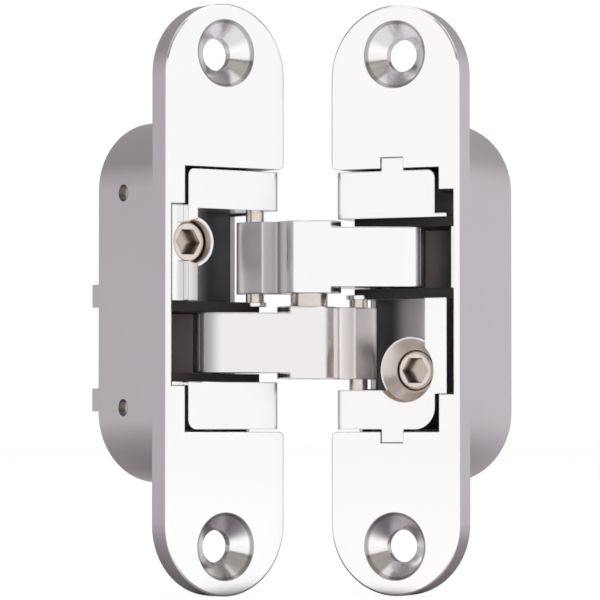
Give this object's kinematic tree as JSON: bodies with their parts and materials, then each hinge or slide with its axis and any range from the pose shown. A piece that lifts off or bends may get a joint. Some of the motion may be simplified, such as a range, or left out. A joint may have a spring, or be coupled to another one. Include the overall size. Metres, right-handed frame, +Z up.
{
  "type": "concealed door hinge",
  "caption": "Concealed door hinge: round-ended mortise leaves joined by crossed arms on a common pin, with sliding tail pins, a sideways adjuster in one leaf and a depth adjuster in the other.",
  "frame": {"origin": "centre of the frame plate's face, midway between its screw holes", "axes": "+X across the frame plate towards the door leaf, +Y into the frame's mortise, +Z up along the plate"},
  "size_m": [0.0578, 0.0475, 0.095],
  "materials": {
    "satin_chrome": "satin",
    "polished_chrome": "polished",
    "black_plastic": "matte",
    "bearing_bronze": "satin",
    "nickel_steel": "satin"
  },
  "bodies": {
    "frame_leaf": {"frame_housing": "satin_chrome", "frame_guide_pin_upper": "nickel_steel", "frame_guide_pin_lower": "nickel_steel"},
    "frame_slide": {"frame_carrier": "polished_chrome", "frame_pivot_pin": "nickel_steel", "frame_guide_upper": "black_plastic", "frame_guide_lower": "black_plastic"},
    "frame_screw": {"frame_adjust_screw": "nickel_steel"},
    "first_arm": {"upper_arm": "polished_chrome", "upper_arm_pivot_bush": "bearing_bronze", "upper_arm_center_bush": "bearing_bronze", "upper_arm_tail_pin": "nickel_steel", "center_pin": "nickel_steel", "center_spacer": "bearing_bronze"},
    "second_arm": {"lower_arm": "polished_chrome", "lower_arm_pivot_bush": "bearing_bronze", "lower_arm_center_bush": "bearing_bronze", "lower_arm_tail_pin": "nickel_steel"},
    "door_slide": {"door_carrier": "polished_chrome", "door_pivot_pin": "nickel_steel", "door_guide_upper": "black_plastic", "door_guide_lower": "black_plastic"},
    "door_screw": {"door_adjust_screw": "nickel_steel"},
    "door_leaf": {"door_housing": "satin_chrome"}
  },
  "joints": [
    {"name": "frame_sideways", "type": "slide", "parent": "frame_leaf", "child": "frame_slide", "axis": [1, 0, 0], "range_m": [-0.0008, 0.0008]},
    {"name": "frame_screw_turn", "type": "hinge", "parent": "frame_slide", "child": "frame_screw", "pos_m": [-0.0052, 0.0032, 0.0092], "axis": [0, 1, 0], "range_deg": [-45.1, 45.1]},
    {"name": "fold", "type": "hinge", "parent": "frame_slide", "child": "first_arm", "pos_m": [0.0088, 0.0045, 0], "axis": [0, 0, 1], "range_deg": [-75.16, 40.97]},
    {"name": "center_fold", "type": "hinge", "parent": "first_arm", "child": "second_arm", "pos_m": [0.01314, -0.00451, 0], "axis": [0, 0, 1], "range_deg": [-18.54, 33.92]},
    {"name": "door_fold", "type": "hinge", "parent": "second_arm", "child": "door_slide", "pos_m": [0.02314, -0.00437, 0], "axis": [0, 0, 1], "range_deg": [-75.26, 41.07]},
    {"name": "door_screw_turn", "type": "hinge", "parent": "door_slide", "child": "door_screw", "pos_m": [0.02751, -0.01381, -0.0113], "axis": [0.8949, 0.4462, 0], "range_deg": [-361, 361]},
    {"name": "door_depth", "type": "slide", "parent": "door_slide", "child": "door_leaf", "axis": [0.8949, 0.4462, 0], "range_m": [-0.001, 0.001]}
  ],
  "couplings": [
    {"joint": "frame_screw_turn", "follows": "frame_sideways", "rad_per_m": -981.75},
    {"joint": "center_fold", "follows": "fold", "ratio": -0.45},
    {"joint": "door_fold", "follows": "fold", "ratio": 1},
    {"joint": "door_screw_turn", "follows": "door_depth", "rad_per_m": 6283.2}
  ]
}
